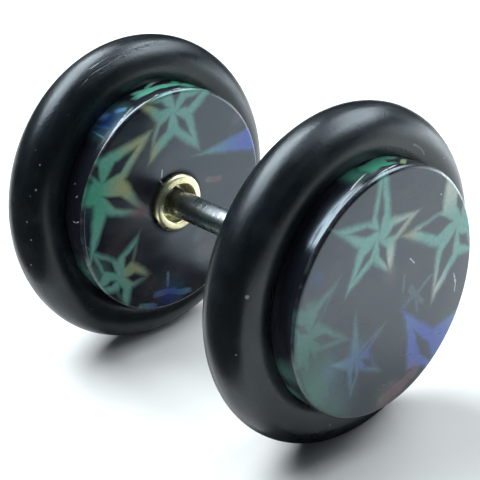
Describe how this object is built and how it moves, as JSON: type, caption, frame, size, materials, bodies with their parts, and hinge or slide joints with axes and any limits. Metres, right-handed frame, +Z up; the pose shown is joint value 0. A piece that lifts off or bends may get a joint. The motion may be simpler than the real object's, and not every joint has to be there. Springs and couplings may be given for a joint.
{
  "type": "fake plug earring",
  "caption": "Fake plug earring: two short round discs with rubber O-rings, joined through the ear lobe by a thin screw post.",
  "frame": {"origin": "on the plane that the earring lies on, under the middle of its axis, midway between the two outer faces", "axes": "+X along the axis towards the front disc, +Z up"},
  "size_m": [0.0164, 0.0136, 0.0136],
  "materials": {
    "printed_acrylic": "clear gloss over a print of stars in muted green, beige, red and blue",
    "black_rubber": "satin",
    "steel_bar": "polished, with fine scratches",
    "brass_insert": "polished"
  },
  "bodies": {
    "front": {"front_disc": "printed_acrylic", "front_o_ring": "black_rubber", "post": "steel_bar"},
    "back": {"back_disc": "printed_acrylic", "back_o_ring": "black_rubber", "back_socket": "brass_insert"}
  },
  "joints": [
    {"name": "back_off", "type": "slide", "parent": "front", "child": "back", "axis": [-1, 0, 0], "range_m": [0, 0.012]}
  ]
}
